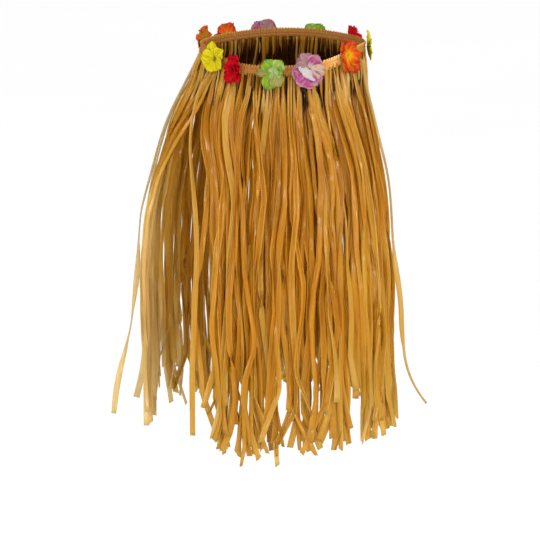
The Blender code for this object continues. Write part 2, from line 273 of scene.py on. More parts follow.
class Nodes:
    """Builds a material's node tree with short calls."""

    def __init__(self, name):
        self.material = bpy.data.materials.new(name)
        self.material.use_nodes = True
        self.tree = self.material.node_tree
        self.tree.nodes.clear()

    def feed(self, socket, value):
        """Joins another node's output to a socket, or sets the socket to a number or a colour."""
        if isinstance(value, bpy.types.NodeSocket):
            self.tree.links.new(value, socket)
        elif socket.type == "RGBA":
            socket.default_value = (*value[:3], 1.0)
        else:
            socket.default_value = value

    def add(self, kind, feeds=(), **settings):
        node = self.tree.nodes.new(kind)
        for key, value in settings.items():
            setattr(node, key, value)
        for name, value in dict(feeds).items():
            self.feed(node.inputs[name], value)
        return node

    def attribute(self, name, output="Fac"):
        return self.add("ShaderNodeAttribute", attribute_name=name).outputs[output]

    def noise(self, vector, scale, detail=2.0, roughness=0.5):
        feeds = {"Vector": vector, "Scale": scale, "Detail": detail, "Roughness": roughness}
        return self.add("ShaderNodeTexNoise", feeds).outputs["Fac"]

    def drawn_out(self, lay, stretch, *pattern):
        """Noise drawn out along the cloth's length; a smaller stretch makes longer streaks."""
        mapping = self.add("ShaderNodeMapping", {"Vector": lay, "Scale": (1.0, stretch, 1.0)})
        return self.noise(mapping.outputs["Vector"], *pattern)

    def ramp(self, factor, stops):
        """A colour for each position on a scale, blended between."""
        node = self.add("ShaderNodeValToRGB", {"Fac": factor})
        elements = node.color_ramp.elements
        while len(elements) < len(stops):
            elements.new(0.5)
        for element, (position, colour) in zip(elements, stops):
            element.position = position
            element.color = (*colour[:3], 1.0)
        return node.outputs["Color"]

    def remap(self, value, *limits):
        """A value moved from between the first two limits to between the last two."""
        names = ("Value", "From Min", "From Max", "To Min", "To Max")
        return self.add("ShaderNodeMapRange", zip(names, (value, *limits))).outputs["Result"]

    def maths(self, operation, *values):
        node = self.add("ShaderNodeMath", operation=operation)
        for socket, value in zip(node.inputs, values):
            self.feed(socket, value)
        return node.outputs[0]

    def mix(self, factor, first, second):
        node = self.add("ShaderNodeMix", data_type="RGBA")
        for name, value in (("Factor", factor), ("A", first), ("B", second)):
            sockets = [socket for socket in node.inputs if socket.name == name and socket.enabled]
            self.feed(sockets[0], value)
        return [socket for socket in node.outputs if socket.enabled][0]

    def bump(self, height, strength, distance):
        feeds = {"Height": height, "Strength": strength, "Distance": distance}
        return self.add("ShaderNodeBump", feeds).outputs["Normal"]

    def show(self, surface):
        """Makes a shader the material's surface."""
        self.add("ShaderNodeOutputMaterial", {"Surface": surface})
        return self.material

    def finish(
        self, colour, roughness, normal, see_through, specular=0.3, tint=WHITE, coat=0.0, glow=None
    ):
        """A film or cloth: a Principled surface that also lets some light through."""
        feeds = {
            "Base Color": colour,
            "Roughness": roughness,
            "Normal": normal,
            "Specular IOR Level": specular,
            "Specular Tint": tint,
            "Coat Weight": coat,
            "Coat Roughness": 0.11,
            "Coat IOR": 1.5,
            "Coat Normal": normal,
        }
        surface = self.add("ShaderNodeBsdfPrincipled", feeds)
        through = self.add("ShaderNodeBsdfTranslucent", {"Color": glow or colour})
        blend = self.add("ShaderNodeMixShader", {"Fac": see_through})
        self.feed(blend.inputs[1], surface.outputs["BSDF"])
        self.feed(blend.inputs[2], through.outputs["BSDF"])
        return self.show(blend.outputs["Shader"])


def raffia_material(settings):
    """Satin film: fine lines along the strand, crinkled patches, and a tone for each strand, which also
    carries painted light and shade.
    """
    nodes = Nodes("raffia_film")
    lay = nodes.attribute("lay", "Vector")
    tone = nodes.attribute("tone")
    lines = nodes.drawn_out(lay, 0.012, 900.0, 3.0)
    streaks = nodes.drawn_out(lay, 0.05, 220.0)
    crinkle = nodes.drawn_out(lay, 0.45, 330.0, 4.0, 0.62)
    patches = nodes.drawn_out(lay, 0.6, 38.0)
    shade = nodes.maths("ADD", tone, nodes.remap(streaks, 0.3, 0.7, -0.08, 0.08))
    shade = nodes.maths("ADD", shade, nodes.remap(lines, 0.3, 0.7, -0.07, 0.07))
    tones = (
        (0.0, settings.shadow),
        (0.14, settings.dark),
        (0.5, settings.middle),
        (0.8, settings.light),
        (1.0, settings.gleam),
    )
    colour = nodes.ramp(shade, tones)
    roughness = nodes.remap(crinkle, 0.35, 0.65, 0.20, 0.42)
    crushed = nodes.maths("MULTIPLY", crinkle, nodes.remap(patches, 0.50, 0.63, 0.3, 8.0))
    normal = nodes.bump(nodes.maths("ADD", nodes.maths("MULTIPLY", lines, 0.5), crushed), 0.45, 0.0005)
    # The light through a strand darkens with its tone, so the painted shade also holds in the light that
    # comes through.
    through = nodes.ramp(shade, ((0.0, settings.shadow), (0.24, settings.dark), (0.48, settings.amber)))
    sheer = nodes.attribute("sheer")
    glow = nodes.mix(sheer, through, settings.glow)
    return nodes.finish(colour, roughness, normal, 0.60, 0.8, FILM_GLOSS, 0.40, glow)


def shirring_material(settings):
    """The band's film: the same raffia, crushed into fine upright gathers."""
    nodes = Nodes("shirred_raffia_film")
    lay = nodes.attribute("lay", "Vector")
    upright = nodes.drawn_out(lay, 0.12, 700.0, 3.0)
    crinkle = nodes.drawn_out(lay, 0.6, 420.0, 4.0, 0.6)
    tone = nodes.attribute("tone")
    shade = nodes.maths("ADD", tone, nodes.remap(upright, 0.3, 0.7, -0.12, 0.12))
    colour = nodes.ramp(shade, ((0.0, settings.dark), (0.45, settings.middle), (1.0, settings.light)))
    roughness = nodes.remap(crinkle, 0.35, 0.65, 0.34, 0.55)
    normal = nodes.bump(nodes.maths("ADD", upright, crinkle), 0.4, 0.0005)
    return nodes.finish(colour, roughness, normal, 0.12)


def petal_material(name, stops, ridge_highlight, see_through):
    """Pressed cloth: its colour runs from the heart to the rim, streaked along its length with a painted
    highlight on the ridges and painted shade in the valleys.
    """
    nodes = Nodes(name)
    lay = nodes.attribute("lay", "Vector")
    outwards = nodes.attribute("tone")
    streaks = nodes.drawn_out(lay, 0.08, 300.0, 3.0)
    weave = nodes.noise(lay, 2600.0, 2.0)
    place = nodes.maths("ADD", outwards, nodes.remap(streaks, 0.3, 0.7, -0.07, 0.07))
    colour = nodes.ramp(place, stops)
    # Painted highlight along the ridges.
    colour = nodes.mix(nodes.remap(streaks, 0.48, 0.70, 0.0, 0.55), colour, ridge_highlight)
    heart = stops[0][1]
    # Painted shade in the valleys between the ridges, in the heart's colour.
    colour = nodes.mix(nodes.remap(streaks, 0.30, 0.47, 0.55, 0.0), colour, heart)
    height = nodes.maths("ADD", streaks, nodes.maths("MULTIPLY", weave, 0.5))
    normal = nodes.bump(height, 0.4, 0.0003)
    return nodes.finish(colour, 0.60, normal, see_through, specular=0.05)


def plain_material(name, colour, roughness, variation, scale):
    """A matt surface with a faint cloudy change of tone."""
    nodes = Nodes(name)
    place = nodes.add("ShaderNodeTexCoord").outputs["Object"]
    cloud = nodes.noise(place, scale, 3.0)
    darker = tuple(channel * (1.0 - variation) for channel in colour)
    shade = nodes.ramp(cloud, ((0.35, darker), (0.65, colour)))
    feeds = {"Base Color": shade, "Roughness": roughness}
    return nodes.show(nodes.add("ShaderNodeBsdfPrincipled", feeds).outputs["BSDF"])


# ---------------------------------------------------------------- the strands


class HangingForm:
    """The way a packed lock or strand hangs: its middle line, direction across and half width."""

    def __init__(self, node, points_a_row):
        points = packed_points(node)
        points = points[np.argsort(-points[:, 2], kind="stable")]
        rows = [points[k : k + points_a_row] for k in range(0, len(points), points_a_row)]
        middles = np.array([row.mean(axis=0) for row in rows])
        across = []
        halves = []
        for row, middle in zip(rows, middles):
            level = (row - middle)[:, :2]
            direction = np.linalg.svd(level, full_matrices=False)[2][0]
            direction = np.array([direction[0], direction[1], 0.0])
            normal = np.cross(direction, UP)
            if normal @ (middle * (1.0, 1.0, 0.0)) < 0:
                direction = -direction
            across.append(direction)
            halves.append(np.abs(level @ direction[:2]).max())
        drops = middles[0, 2] - middles[:, 2]
        self.top = middles[0, 2]
        self.drop = drops[-1]
        self.steps = np.linspace(0.0, self.drop, FORM_STEPS)
        self.middle = self.even(drops, middles)
        self.across = lengths_one(self.even(drops, np.array(across)))
        self.half = self.even(drops, np.array(halves)[:, None])[:, 0]
        top_row = rows[0] - middles[0]
        reach = top_row @ across[0]
        self.slope = float((reach @ top_row[:, 2]) / (reach @ reach))
        # Both run from 0 to 1: front for the locks sewn on in front, and thin for the sparse locks
        # that swing out beside the gap.
        self.front = float(smooth_step(-0.02, 0.03, -middles[0, 1]))
        self.thin = float(smooth_step(0.20, 0.26, -middles[-1, 0]))
        # The turn that would set a strand's flat side to the front, at most a quarter turn.
        facing = math.atan2(across[-1][1], across[-1][0])
        self.aside = (facing + math.pi / 2.0) % math.pi - math.pi / 2.0

    def even(self, drops, values):
        """Values at even drops, smoothed so the rows leave no corners."""
        columns = [np.interp(self.steps, drops, column) for column in values.T]
        return softened(np.array(columns).T, FORM_SMOOTHING)

    def at(self, values, drops):
        """Values at any drops; past the last step, the last value holds."""
        columns = np.atleast_2d(values.T)
        read = [np.interp(drops, self.steps, column) for column in columns]
        return np.array(read).T


def wave(chance, along, size, length):
    """A soft wander with a random start, in metres or radians."""
    phase = chance.uniform(0.0, 2.0 * math.pi)
    stretch = chance.uniform(0.75, 1.35)
    return size * np.sin(2.0 * math.pi * along / (length * stretch) + phase)


def kinks(chance, along, count, size, softness):
    """Straight runs between a few random knots, with the corners slightly rounded."""
    knots = np.linspace(along[0], along[-1], count + 2)
    knots[1:-1] += chance.uniform(-0.3, 0.3, count) * (knots[1] - knots[0])
    values = chance.normal(0.0, size, count + 2)
    values[0] = 0.0
    return softened(np.interp(along, knots, values), softness)


def swell(at, centre, reach):
    """1 at the centre, falling softly to 0 about two reaches away."""
    return np.exp(-(((at - centre) / reach) ** 2))


def bunch_middle(place, bunches):
    """The middle of the bunch that a place across a lock falls in, both from -1 to 1."""
    return (round((place + 1.0) * bunches - 0.5) + 0.5) / bunches - 1.0


def strand_points(path, across, twist, section):
    """Points of a flat strand [row, column]. The section's bends give each face its slope."""
    tangent = lengths_one(np.gradient(path, axis=0))
    across = lengths_one(across - tangent * np.sum(across * tangent, axis=1, keepdims=True))
    normal = np.cross(across, -tangent)
    turn = twist[:, None]
    flat = across * np.cos(turn) + normal * np.sin(turn)
    front = normal * np.cos(turn) - across * np.sin(turn)
    flat_steps = np.cos(section["bends"]) * section["face"][:, None]
    front_steps = np.sin(section["bends"]) * section["face"][:, None]
    sideways = np.pad(np.cumsum(flat_steps, axis=1), ((0, 0), (1, 0)))
    forward = np.pad(np.cumsum(front_steps, axis=1), ((0, 0), (1, 0)))
    sideways -= sideways.mean(axis=1, keepdims=True)
    forward -= forward.mean(axis=1, keepdims=True)
    return path[:, None] + flat[:, None] * sideways[:, :, None] + front[:, None] * forward[:, :, None]


def folded_section(width, fold, curl, crease, columns):
    """A strand's section at each row: a lengthwise crease, and edges that curl."""
    share = (np.arange(columns) + 0.5) / columns * 2.0 - 1.0
    creased = np.tanh((share - crease) / 0.06)
    bends = fold[:, None] * creased[None, :] + curl[:, None] * share[None, :]
    return {"bends": bends, "face": width / columns}


def cloth_layers(shape):
    """Where each point lies on the flat cloth, and how light it is."""
    lay = shape.verts.layers.float_vector.new("lay")
    shade = shape.verts.layers.float.new("tone")
    return lay, shade


def strand_layers(shape):
    """The cloth's layers, and how much pale light the film lets through."""
    return (*cloth_layers(shape), shape.verts.layers.float.new("sheer"))


def flat_lay(across, along, apart):
    """Where each point of a grid [row, column] lies on the flat cloth."""
    across, along = np.broadcast_arrays(across[None, :], along[:, None])
    return np.stack([across, along, np.full(across.shape, apart)], axis=-1)


def add_cloth(shape, layers, points, values, hangs=False):
    """Adds a grid of faces moved to its points [row, column], with a value for each layer."""
    rows = points.shape[0] - 1
    columns = points.shape[1] - 1
    made = bmesh.ops.create_grid(shape, x_segments=columns, y_segments=rows, size=0.5)["verts"]
    first_row = 0.5 if hangs else -0.5
    for vertex in made:
        column = round((vertex.co.x + 0.5) * columns)
        row = round(abs(vertex.co.y - first_row) * rows)
        vertex.co = points[row, column]
        for layer, value in zip(layers, values):
            vertex[layer] = value[row, column]
    return made


def add_strand(shape, layers, points, along, tone, sheer, number):
    """Adds one strand, whose film lies apart from the others' in the flat."""
    columns = points.shape[1]
    across = LAY_WIDTH * np.arange(columns) / (columns - 1) + LAY_BESIDE * number
    lay = flat_lay(across, along, LAY_ABOVE * number)
    pale = np.repeat(sheer[:, None], columns, axis=1)
    add_cloth(shape, layers, points, (lay, tone, pale), hangs=True)


def sewn_flowers():
    return [FlowerPlace(node) for node in nodes_named("flower_")]


def tucked(path, flowers):
    """A strand's path, pressed back where it runs behind a sewn flower."""
    for flower in flowers:
        reach = path - flower.base
        sideways = (reach @ flower.right) / (flower.half_width + 0.010)
        upright = reach[:, 2] / (flower.half_height + 0.016)
        behind = np.exp(-(sideways**4) - upright**4)
        forward = reach @ flower.facing
        ahead = np.maximum(forward + FLOWER_ROOM, 0.0) * behind * (np.abs(forward) < 0.05)
        path = path - ahead[:, None] * flower.facing
    return path


class LockStrand:
    """One strand of a lock. Its chances are drawn in the order of the methods below."""

    def __init__(self, form, start, settings, chance):
        self.form = form
        self.start = start
        self.settings = settings
        self.chance = chance
        self.length = form.drop * (MEAN_LENGTH + chance.normal(0.0, LENGTH_SPREAD))
        if chance.random() < SHORT_SHARE:
            self.length -= chance.uniform(*SHORT_BY)
        even = np.linspace(0.0, 1.0, settings.rows + 1)
        # The rows stand closer near the band, where the folds are tightest.
        self.share = 0.80 * even + 0.20 * even**2
        self.drops = self.share * (self.length + settings.tuck) - settings.tuck
        self.below = np.maximum(self.drops, 0.0)
        self.loose = smooth_step(0.0, 0.12, self.below)
        self.free = smooth_step(0.10, 0.34, self.below)
        opening = settings.gather * chance.uniform(0.5, 1.5)
        self.gathered = 1.0 - smooth_step(0.006, opening, self.below)

    def route(self, flowers, shared):
        """The strand's path and the direction across it, at each row."""
        form, chance, start = self.form, self.chance, self.start
        drops, below, loose = self.drops, self.below, self.loose
        half = form.at(form.half, drops)[:, 0]
        # It leaves the band in a tuft, and spreads to its own place in the lock.
        spread = softened(np.clip((below - 0.004) / chance.uniform(0.05, 0.12), 0.0, 1.0), 1)
        to_tuft = bunch_middle(start, TUFTS) - start
        place = start + 0.80 * form.front * to_tuft * (1.0 - spread)
        side = place * half + chance.normal(0.0, 0.022) * (below / form.drop)
        wander = kinks(chance, drops, 2, 0.0110, 0) + kinks(chance, drops, 7, 0.0028, 0)
        side = side + wander * loose * (0.5 + 0.5 * form.front)
        side = side + np.interp(drops, form.steps, shared) * loose
        # Near its end it draws in to a clump, and then splays away from it.
        clump = bunch_middle(start, CLUMPS)
        pinch = 0.5 * swell(below - self.length, -0.11, 0.09)
        side = side + pinch * (clump * half - side)
        splay = np.maximum(below - self.length + chance.uniform(0.03, 0.11), 0.0)
        lean = 0.12 * math.copysign(1.0, start - clump) + chance.normal(0.0, 0.17)
        side = side + math.tan(lean) * splay
        # Depth sets it back or forward in the lock, most of all where it bulges under the band.
        self.depth = chance.uniform(-1.0, 1.0)
        out = 0.0050 * self.depth * loose - 0.001
        out = out + loose * kinks(chance, drops, 4, 0.0024, 2)
        out = out + (0.0025 + 0.0038 * self.depth) * swell(below, 0.030, 0.022)
        out = out + math.tan(chance.normal(0.0, 0.07)) * splay
        across = lengths_one(form.at(form.across, drops))
        normal = np.cross(across, UP)
        path = form.at(form.middle, drops) + across * side[:, None] + normal * out[:, None]
        path[:, 2] = form.top - drops + form.slope * start * half[0]
        return tucked(path, flowers), across

    def twist(self):
        """How far the flat side has turned at each row."""
        form, chance = self.form, self.chance
        twist = self.gathered * chance.uniform(-1.1, 1.1) * (0.4 + 0.6 * form.front)
        turns = kinks(chance, self.drops, 6, 0.42, 0) + chance.normal(0.0, 0.28)
        twist = twist + self.loose * turns
        twist = twist + self.free * chance.uniform(0.35, 0.90) * form.aside
        if chance.random() < TURNED_SHARE:
            where = chance.uniform(0.12, 0.80) * self.length
            reach = chance.uniform(0.06, 0.12)
            half_turn = chance.choice((-1.0, 1.0)) * math.pi
            twist = twist + half_turn * smooth_step(where, where + reach, self.drops)
        return twist

    def section(self):
        """How the strand is folded and curled at each row: tight at the band, then as it rests."""
        chance, drops = self.chance, self.drops
        self.way = chance.choice((-1.0, 1.0))
        if chance.random() < FOLDED_SHARE:
            resting = chance.uniform(0.85, 1.20)
        else:
            resting = abs(chance.normal(0.0, 0.26)) + 0.02
        tight = chance.uniform(0.80, 1.05) + self.form.front * chance.uniform(0.22, 0.34)
        fold = resting + self.gathered * (tight - resting)
        fold = self.way * np.clip(fold + self.loose * kinks(chance, drops, 6, 0.32, 1), 0.0, 1.35)
        curl = self.loose * chance.normal(0.0, 0.06) + kinks(chance, drops, 3, 0.07, 2)
        crease = chance.uniform(-0.55, 0.55)
        width = np.full(len(drops), self.settings.width * chance.uniform(0.80, 1.08))
        return folded_section(width, fold, curl, crease, self.settings.columns)

    def points(self, flowers, shared):
        """The strand's points [row, column], with a slanted, slightly ragged cut end."""
        path, across = self.route(flowers, shared)
        twist = self.twist()
        points = strand_points(path, across, twist, self.section())
        columns = self.settings.columns + 1
        slant = self.chance.normal(0.0, 0.0024)
        ragged = self.chance.normal(0.0, 0.0004, columns)
        points[-1, :, 2] += slant * np.linspace(-1.0, 1.0, columns) + ragged
        return points

    def tones(self):
        """The strand's tone at each point [row, column], painted light and shade included, and its sheer
        at each row.
        """
        form, chance = self.form, self.chance
        outer = self.depth > OUTER_DEPTH
        # Just under the band an outer strand gets a painted highlight and an inner one painted shade, as
        # if deep in the folds.
        painted_light_under_band = swell(self.below, 0.035, 0.045)
        tips = smooth_step(0.66, 1.0, self.share)
        # Painted shade: strands set further back in the lock are darker.
        tone = chance.normal(0.485, 0.09) + 0.08 * self.depth + (0.16 if outer else -0.56) * painted_light_under_band
        # Painted shade: the strands are darker towards the band.
        tone = tone - 0.07 * (1.0 - smooth_step(0.25, 0.62, self.share))
        # Painted light: the cut tips are paler, and so are the sparse locks beside the gap, most of all
        # where they hang free.
        tone = tone + 0.12 * tips + form.thin * (0.08 + 0.36 * self.free)
        # Painted light: locks that turn side-on are paler, against the shade they hang in.
        tone = tone + 0.08 * abs(math.sin(form.aside))
        sheer = np.clip(0.45 * tips + 0.30 * form.thin * self.free, 0.0, 0.62)
        across = np.linspace(0.0, 1.0, self.settings.columns + 1)
        # Both edges get a painted highlight, and which one more goes by the way the strand is folded.
        brighter_painted_edge = float(self.way > 0.0)
        rim = swell(across, brighter_painted_edge, 0.16) + 0.6 * swell(across, 1.0 - brighter_painted_edge, 0.12)
        painted_edge_highlight = 0.05 + 0.10 * (chance.random() < 0.35) + (0.58 if outer else 0.0) * painted_light_under_band
        return tone[:, None] + painted_edge_highlight[:, None] * rim, sheer


def film_material(settings):
    return bpy.data.materials.get("raffia_film") or raffia_material(settings)


class GRASSSKIRT_OT_locks(bpy.types.Operator):
    """Hang each lock of the fringe as separate flat strands"""

    bl_idname = "grass_skirt.locks"
    bl_label = "Fringe locks"

    def execute(self, context):
        settings = context.scene.grass_skirt_strands
        material = film_material(settings)
        flowers = sewn_flowers()
        for order, node in enumerate(nodes_named("fringe_lock_")):
            chance = np.random.default_rng(settings.seed * LOCK_CHANCES + order)
            form = HangingForm(node, LOCK_POINTS_A_ROW)
            shared = kinks(chance, form.steps, 3, 0.0035, 3)
            pitch = settings.pitch * (0.8 + 0.2 * form.front + 1.2 * form.thin)
            count = max(4, round(2.0 * form.half[0] / pitch))
            shape = bmesh.new()
            layers = strand_layers(shape)
            for number in range(count):
                start = (2.0 * (number + 0.5) / count - 1.0) + chance.uniform(-0.6, 0.6) / count
                strand = LockStrand(form, start, settings, chance)
                points = strand.points(flowers, shared)
                tone, sheer = strand.tones()
                drops = strand.drops
                counted = number + order * LOCK_COUNT_STEP
                add_strand(shape, layers, points, drops, tone, sheer, counted)
            name = node.replace("fringe_lock", "strands_of_lock")
            piece = finish_piece(name, shape, [material], node, settings.film, crease=CREASE)
        return {"FINISHED"}


class GRASSSKIRT_OT_loose_strands(bpy.types.Operator):
    """Lay a strand along each path that hangs apart from the locks"""

    bl_idname = "grass_skirt.loose_strands"
    bl_label = "Loose strands"

    def execute(self, context):
        settings = context.scene.grass_skirt_strands
        material = film_material(settings)
        ring = WaistRing()
        flowers = sewn_flowers()
        for order, node in enumerate(nodes_named("loose_strand_")):
            chance = np.random.default_rng(settings.seed * LOOSE_CHANCES + order)
            form = HangingForm(node, STRAND_POINTS_A_ROW)
            drops = np.linspace(0.0, form.drop, settings.rows + 1)
            path = form.at(form.middle, drops)
            root = ring.root(path[0])
            run = np.linspace(0.0, 1.0, LEAD_ROWS + 1)[:-1]
            lead = root + (path[0] - root) * run[:, None]
            reach = float(np.linalg.norm(path[0] - root))
            drops = np.concatenate([(run - 1.0) * reach, drops])
            path = tucked(softened(np.concatenate([lead, path]), 2), flowers)
            across = lengths_one(form.at(form.across, drops))
            look = LOOSE_STRANDS[node]
            stations, turns, folds = zip(*look["hang"])
            twist = softened(np.interp(drops, stations, turns), 3)
            twist = twist + wave(chance, drops, 0.10, 0.2) * smooth_step(0.0, 0.1, drops)
            fold = softened(np.interp(drops, stations, folds), 3)
            curl = wave(chance, drops, 0.15, 0.3)
            width = np.full(len(drops), settings.width * 0.95)
            section = folded_section(width, fold, curl, 0.1, settings.columns)
            shape = bmesh.new()
            layers = strand_layers(shape)
            points = strand_points(path, across, twist, section)
            tone = np.full(points.shape[:2], look["tone"])
            sheer = np.full(len(drops), look["sheer"])
            add_strand(shape, layers, points, drops, tone, sheer, order + LOOSE_COUNT)
            piece = finish_piece(f"{node}_film", shape, [material], node, settings.film)
        return {"FINISHED"}


# ---------------------------------------------------------------- the waistband

RING_STATIONS = 72
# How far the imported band's section stands out from its centre line.
BAND_OVERHANG = 0.0025
# The lowest stitched row and the step to the next, and where the frill starts, as shares of
# the band's height.
FIRST_STITCHES = 0.10
STITCH_STEP = 0.29
FRILL_START = 0.80
FACES_A_GATHER = 6


class WaistRing:
    """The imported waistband's centre line."""

    def __init__(self):
        low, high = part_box("waistband")
        points = packed_points("waistband")
        self.half_width = (high.x - low.x) / 2 - BAND_OVERHANG
        self.half_depth = (high.y - low.y) / 2 - BAND_OVERHANG
        angles = np.arctan2(points[:, 0] / self.half_width, -points[:, 1] / self.half_depth)
        self.angles = np.linspace(-math.pi, math.pi, RING_STATIONS + 1)
        step = self.angles[1] - self.angles[0]
        which = np.round((angles + math.pi) / step).astype(int) % RING_STATIONS
        heights = np.array([points[which == k, 2].mean() for k in range(RING_STATIONS)])
        self.heights = np.append(heights, heights[0])
        self.height = float(np.ptp(points[which == 0, 2]))

    def root(self, point):
        """The place just inside the band's lower edge nearest above a point."""
        angle = np.arctan2(point[0] / self.half_width, -point[1] / self.half_depth)
        return self.place(angle, -0.0008, 0.004 - self.height / 2)

    def outward(self, angle):
        normal = np.stack(
            [np.sin(angle) / self.half_width, -np.cos(angle) / self.half_depth, 0.0 * angle], axis=-1
        )
        return lengths_one(normal)

    def place(self, angle, out, rise):
        """Points round the band, so far out of its centre line and so far above it."""
        centre = np.interp(angle, self.angles, self.heights)
        ring = np.stack(
            [self.half_width * np.sin(angle), -self.half_depth * np.cos(angle), centre + rise], axis=-1
        )
        return ring + self.outward(angle) * np.asarray(out)[..., None]


def shirred_cloth(ring, settings, columns):
    """The band's points and tones [row, column], with its gathers, puffs and frill; the tones carry
    painted light and shade.
    """
    chance = np.random.default_rng(BAND_CHANCES)
    around = np.linspace(-math.pi, math.pi, columns + 1)[:-1]
    turns, ups = np.meshgrid(around, np.linspace(0.0, 1.0, settings.rows + 1), indexing="ij")
    phase = settings.gathers * turns
    phase = phase + 0.9 * np.sin(turns * 23.0 + 4.0 * ups) + 0.7 * np.sin(turns * 41.0 + 1.3 - 6.0 * ups)
    # 0 on each stitched row, 1 on the puff between two rows.
    puffed = np.abs(np.sin(math.pi * (ups - FIRST_STITCHES) / STITCH_STEP))
    frill = smooth_step(FRILL_START, 1.0, ups)
    ruffle = np.cos(phase + 0.6)
    crush = 0.75 + 0.25 * np.sin(turns * 57.0 + 2.0) * np.sin(turns * 17.0)
    gather = np.sin(phase) * (0.00030 + 0.0003 * puffed + 0.0011 * frill) * crush
    # Painted light and shade: the puffs are lighter than the stitched rows, and the frill is lighter,
    # with painted highlights on its raised tips and painted shade between them.
    tones = 0.03 + 0.10 * puffed * (1.0 - frill) + frill * (0.14 + 0.42 * ruffle)
    # Painted light: the band is lighter at one side of the front, where the light falls on it.
    tones = tones + 0.42 * swell(turns, 0.72, 0.42)
    out = 0.0006 + 0.0012 * puffed * (1.0 - frill) + gather + 0.0010 * frill
    rise = (ups - 0.5) * ring.height
    rise = rise + frill * (settings.frill * (0.55 + 0.45 * ruffle))
    rise = rise + chance.normal(0.0, 0.0001, rise.shape)
    slide = 0.0005 * np.cos(phase) * (0.4 + puffed)
    across = np.stack([np.cos(turns), np.sin(turns), 0.0 * turns], axis=-1)
    points = ring.place(turns, out, rise) + across * slide[..., None]
    # The last column meets the first.
    closed = np.arange(columns + 1) % columns
    return np.swapaxes(points[closed], 0, 1), tones[closed].T


class GRASSSKIRT_OT_waistband(bpy.types.Operator):
    """Shirr the waistband: stitched rows, puffs between them and a frilled top edge"""

    bl_idname = "grass_skirt.waistband"
    bl_label = "Waistband"

    def execute(self, context):
        settings = context.scene.grass_skirt_band
        ring = WaistRing()
        columns = settings.gathers * FACES_A_GATHER
        rows = settings.rows
        length = 2.0 * math.pi * (ring.half_width + ring.half_depth) / 2
        points, tones = shirred_cloth(ring, settings, columns)
        across = length * np.arange(columns + 1) / columns
        lay = flat_lay(across, ring.height * np.arange(rows + 1) / rows, 0.0)
        shape = bmesh.new()
        add_cloth(shape, cloth_layers(shape), points, (lay, tones))
        bmesh.ops.remove_doubles(shape, verts=shape.verts, dist=0.000001)
        material = shirring_material(settings)
        piece = finish_piece(
            "shirred_waistband", shape, [material], "waistband", settings.wall, -1.0
        )
        return {"FINISHED"}


# ---------------------------------------------------------------- the flowers

# Each cloth: its colours from a petal's heart to its rim, its painted highlight along the ridges, and
# the light it lets through.
CLOTHS = {
    "yellow": (
        ((0.0, (0.19, 0.14, 0.001)), (0.2, (0.42, 0.34, 0.002)), (1.0, (0.54, 0.45, 0.006))),
        (0.66, 0.57, 0.03),
        0.16,
    ),
    "red": (
        ((0.0, (0.30, 0.001, 0.005)), (0.5, (0.44, 0.002, 0.008)), (1.0, (0.45, 0.004, 0.011))),
        (0.52, 0.006, 0.016),
        0.18,
    ),
    "green": (
        ((0.0, (0.34, 0.45, 0.14)), (0.3, (0.18, 0.31, 0.015)), (1.0, (0.13, 0.24, 0.008))),
        (0.30, 0.46, 0.07),
        0.20,
    ),
    "pale_green": (
        ((0.0, (0.42, 0.52, 0.22)), (0.4, (0.26, 0.38, 0.060)), (1.0, (0.19, 0.30, 0.020))),
        (0.44, 0.55, 0.20),
        0.24,
    ),
    "beige_green": (
        (
            (0.0, (0.38, 0.40, 0.140)), (0.45, (0.35, 0.27, 0.085)), (0.8, (0.28, 0.26, 0.050)),
            (1.0, (0.15, 0.25, 0.014)),
        ),
        (0.43, 0.40, 0.18),
        0.34,
    ),
    "white_green": (
        ((0.0, (0.42, 0.52, 0.24)), (0.6, (0.32, 0.44, 0.13)), (1.0, (0.22, 0.36, 0.05))),
        (0.52, 0.61, 0.36),
        0.20,
    ),
    "lilac": (
        ((0.0, (0.36, 0.25, 0.22)), (0.5, (0.34, 0.18, 0.18)), (1.0, (0.40, 0.19, 0.22))),
        (0.52, 0.33, 0.34),
        0.40,
    ),
    "banded": (
        (
            (0.0, (0.47, 0.41, 0.40)), (0.28, (0.46, 0.40, 0.39)), (0.36, (0.34, 0.032, 0.17)),
            (0.76, (0.29, 0.022, 0.14)), (0.86, (0.38, 0.14, 0.20)), (1.0, (0.42, 0.20, 0.25)),
        ),
        (0.52, 0.26, 0.34),
        0.24,
    ),
    "white_pink": (
        ((0.0, (0.42, 0.37, 0.35)), (0.5, (0.46, 0.40, 0.40)), (1.0, (0.47, 0.39, 0.42))),
        (0.55, 0.49, 0.49),
        0.20,
    ),
    "patched": (
        (
            (0.0, (0.46, 0.36, 0.34)), (0.24, (0.42, 0.25, 0.28)), (0.32, (0.36, 0.040, 0.16)),
            (0.62, (0.31, 0.028, 0.13)), (0.72, (0.40, 0.16, 0.22)), (1.0, (0.43, 0.21, 0.26)),
        ),
        (0.50, 0.24, 0.32),
        0.30,
    ),
    "cream_lilac": (
        ((0.0, (0.52, 0.42, 0.27)), (0.55, (0.50, 0.33, 0.24)), (1.0, (0.48, 0.25, 0.25))),
        (0.66, 0.58, 0.43),
        0.34,
    ),
    "orange": (
        (
            (0.0, (0.46, 0.34, 0.003)), (0.20, (0.60, 0.27, 0.003)), (0.36, (0.58, 0.09, 0.004)),
            (0.60, (0.52, 0.030, 0.008)), (1.0, (0.38, 0.013, 0.008)),
        ),
        (0.64, 0.20, 0.012),
        0.20,
    ),
    "amber": (
        (
            (0.0, (0.40, 0.18, 0.004)), (0.6, (0.38, 0.11, 0.005)), (0.8, (0.56, 0.055, 0.014)),
            (1.0, (0.58, 0.050, 0.020)),
        ),
        (0.66, 0.22, 0.05),
        0.22,
    ),
    # Dark cloth for the painted shade in a flower's throat.
    "dark": (
        ((0.0, (0.13, 0.09, 0.01)), (1.0, (0.18, 0.13, 0.01))),
        (0.15, 0.11, 0.01),
        0.0,
    ),
}

